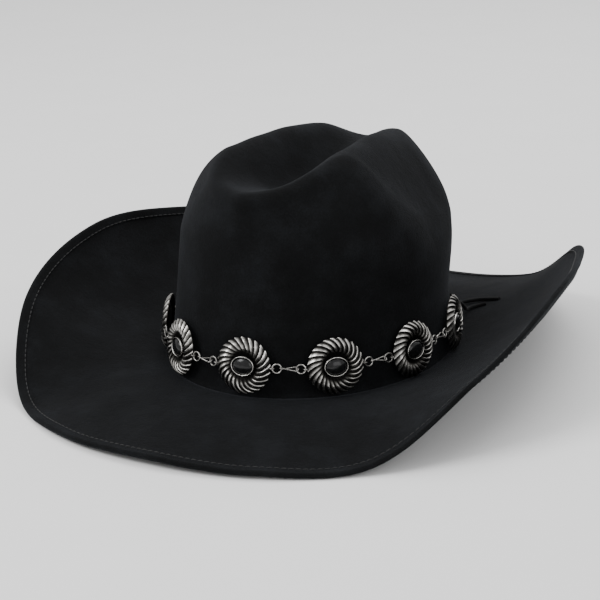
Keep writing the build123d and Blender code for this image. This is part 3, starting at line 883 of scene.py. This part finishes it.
def make_rings(seats, knot):
    """Jump rings in every eyelet, each pulled towards its neighbour; returns their middles and pulls."""
    rings, centres = [], []
    for i, seat in enumerate(seats):
        for side, neighbour in ((-1, i - 1), (1, i + 1)):
            target = seats[neighbour].eyelet(-side) if 0 <= neighbour < len(seats) else knot
            pull = target - seat.eyelet(side)
            pull /= np.linalg.norm(pull)
            face = seat.face - pull * seat.face.dot(pull)
            face /= np.linalg.norm(face)
            centre = seat.eyelet(side) + pull * RING_RADIUS
            path = ring_path(centre, np.cross(face, pull), pull, RING_RADIUS, 0.03, 48)
            rings.append(tube(path, RING_WIRE, 12))
            centres.append((centre, pull))
    hollow = np.full(sum(len(points) for points, _ in rings), 0.22)
    piece("ring_wire", rings, SILVER, "hat_band", ["jump_rings"], {"hollow": hollow})
    return centres


def make_links(centres):
    """Long wire links, slightly twisted, between the rings of neighbouring conchos."""
    for i in range(len(centres) // 2 - 1):
        start, finish = centres[2 * i + 1][0], centres[2 * i + 2][0]
        span = finish - start
        ahead = span / np.linalg.norm(span)
        reach = np.linalg.norm(span) / 2 - LINK_OVERHANG
        straight = reach - LINK_HALF_WIDTH
        side = np.cross((0, 0, 1), ahead)
        bend = np.linspace(-pi / 2, pi / 2, 13)
        run = np.linspace(-straight, straight, 16)[1:-1]
        x = np.concatenate([straight + LINK_HALF_WIDTH * np.cos(bend), run[::-1],
                            -straight - LINK_HALF_WIDTH * np.cos(bend), run])
        y = np.concatenate([LINK_HALF_WIDTH * np.sin(bend), np.full(14, LINK_HALF_WIDTH),
                            -LINK_HALF_WIDTH * np.sin(bend), np.full(14, -LINK_HALF_WIDTH)])
        twist = LINK_TWIST * np.clip(x / straight, -1, 1) / 2
        path = ((start + finish) / 2 + np.outer(x, ahead) + np.outer(y * np.cos(twist), side)
                + np.outer(y * np.sin(twist), (0, 0, 1)))
        points, faces = tube(path, LINK_WIRE, 10, True)
        number = f"{i + 1:02d}"
        piece(f"link_wire_{number}", [(points, faces)], SILVER, "hat_band",
              [f"chain_link_{number}"], {"hollow": np.full(len(points), 0.25)})


# ---------------------------------------------------------------- lace


def smooth_line(name, points, radius):
    """Round line along the smooth spline whose control points are given."""
    data = bpy.data.curves.new(name, "CURVE")
    data.dimensions = "3D"
    data.resolution_u = 12
    data.bevel_depth = radius
    data.bevel_resolution = 4
    data.use_fill_caps = True
    spline = data.splines.new("NURBS")
    spline.points.add(len(points) - 1)
    for slot, point in zip(spline.points, points):
        slot.co = (*point, 1)
    spline.order_u = 3
    spline.use_endpoint_u = True
    made = bpy.data.objects.new(name, data)
    bpy.context.scene.collection.objects.link(made)
    data.materials.append(LACE)
    return made


def make_tail(name, route, knot, node):
    """Loose end of the lace, from the knot, down on to the brim and along it."""
    points = [Vector(point) * MM for point in route]
    leave = Vector(knot) + (points[0] - Vector(knot)).normalized() * (KNOT_RADIUS - TAIL_SEAT)
    tail = smooth_line(name, [leave, *points], TAIL_RADIUS)
    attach(tail, "hat_band")
    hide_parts(node)


def make_tie(name, ring, knot, node):
    """Doubled lace that goes from the knot through an end ring and back."""
    centre, pull = ring
    around = centre + pull * (RING_RADIUS - RING_WIRE)
    ahead = knot - around
    length = np.linalg.norm(ahead)
    ahead /= length
    outward = np.cross(ahead, (0, 0, 1))
    spread = 1.05 * LACE_RADIUS
    stop = length - KNOT_RADIUS + 0.6 * MM
    steps = np.linspace(1.0 * MM, stop, 18)
    sag = 0.5 * MM * np.sin(pi * steps / stop)
    upper = [around + ahead * s + np.array((0, 0, spread - g)) for s, g in zip(steps, sag)]
    lower = [around + ahead * s - np.array((0, 0, spread + g)) for s, g in zip(steps, sag)]
    bend = [around - ahead * 0.7 * MM * cos(a) + np.array((0, 0, spread * sin(a))) + outward * 0.2 * MM * cos(a)
            for a in np.linspace(-pi / 2.4, pi / 2.4, 9)]
    path = np.array(lower[::-1] + bend + upper)
    piece(name, [tube(path, 0.86 * LACE_RADIUS, 12)], LACE, "hat_band", [node])


def make_knot(knot):
    """Square knot drawn tight, as a tube that winds round itself."""
    turn = np.linspace(0, 2 * pi, 160, endpoint=False)
    core = 1.45 * MM
    reach = 1.15 * MM + 0.75 * MM * (0.5 + 0.5 * np.cos(3 * turn))
    path = (
        knot
        + np.outer(reach * np.cos(2 * turn), KNOT_AHEAD)
        + np.outer(reach * np.sin(2 * turn), (0, 0, 1))
        + np.outer(core * np.sin(3 * turn), KNOT_OUTWARD)
    )
    piece("lace_knot", [tube(path, 1.1 * MM, 12, True)], LACE, "hat_band", ["tie_knot"])


# ---------------------------------------------------------------- studio


def make_studio():
    """Pale floor, white world light and soft lights."""
    bpy.ops.mesh.primitive_plane_add(size=12, location=(0, 0, -0.0004))
    floor = bpy.context.object
    floor.name = "studio_floor"
    floor.data.materials.append(pale_floor())
    world = bpy.data.worlds.new("studio")
    bpy.context.scene.world = world
    world.use_nodes = True
    backdrop = world.node_tree.nodes["Background"]
    backdrop.inputs["Color"].default_value = (1.0, 1.0, 1.0, 1)
    backdrop.inputs["Strength"].default_value = 0.85
    lamps = (
        ("key", (-0.9, -1.1, 1.5), 1.0, 26.0),
        ("fill", (1.5, -0.9, 0.8), 1.2, 8.0),
        ("top", (0.1, 0.9, 1.7), 1.4, 20.0),
    )
    for name, place, size, power in lamps:
        data = bpy.data.lights.new(name, "AREA")
        data.size = size
        data.energy = power
        lamp = bpy.data.objects.new(name, data)
        lamp.location = place
        lamp.rotation_mode = "QUATERNION"
        lamp.rotation_quaternion = (Vector(place) - Vector((0, 0, 0.06))).to_track_quat("Z", "Y")
        bpy.context.scene.collection.objects.link(lamp)


def make_camera():
    """Camera above the front left of the hat as the wearer has it, turned slightly about its own axis."""
    azimuth, elevation, turned = radians(CAMERA_AZIMUTH), radians(CAMERA_ELEVATION), radians(CAMERA_TURN)
    back = Vector((sin(azimuth) * cos(elevation), -cos(azimuth) * cos(elevation), sin(elevation)))
    level = Vector((cos(azimuth), sin(azimuth), 0))
    above = back.cross(level)
    right = level * cos(turned) - above * sin(turned)
    up = level * sin(turned) + above * cos(turned)
    data = bpy.data.cameras.new("camera")
    data.sensor_width = CAMERA_SENSOR
    data.lens = CAMERA_LENS
    camera = bpy.data.objects.new("camera", data)
    turn = Matrix((right, up, back)).transposed().to_4x4()
    camera.matrix_world = Matrix.Translation(Vector(CAMERA_AIM) + back * CAMERA_DISTANCE) @ turn
    bpy.context.scene.collection.objects.link(camera)
    bpy.context.scene.camera = camera


# ---------------------------------------------------------------- the whole hat

make_crown()
make_brim()
make_hem()
make_hem_stitching()
make_lining()
make_sweatband()
make_bow()

seats = [Seat(joint) for joint in frame["joints"] if joint["type"] == "hinge"]
knot_low, knot_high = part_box("tie_knot")
knot = np.array((knot_low + knot_high) / 2)
relief = concho_relief()
bezel = bezel_ring()
for seat in seats:
    make_concho(seat, relief, bezel)
ring_centres = make_rings(seats, knot)
make_links(ring_centres)
make_tie("lace_front", ring_centres[-1], knot, "tie_lace_front")
make_tie("lace_rear", ring_centres[0], knot, "tie_lace_rear")
make_knot(knot)
make_tail("tail_long", LONG_TAIL, knot, "lace_tail_long")
make_tail("tail_short", SHORT_TAIL, knot, "lace_tail_short")
wire = frame["nodes"]["brim_wire"]
wire.data.materials.clear()
wire.data.materials.append(WIRE)

make_studio()
make_camera()
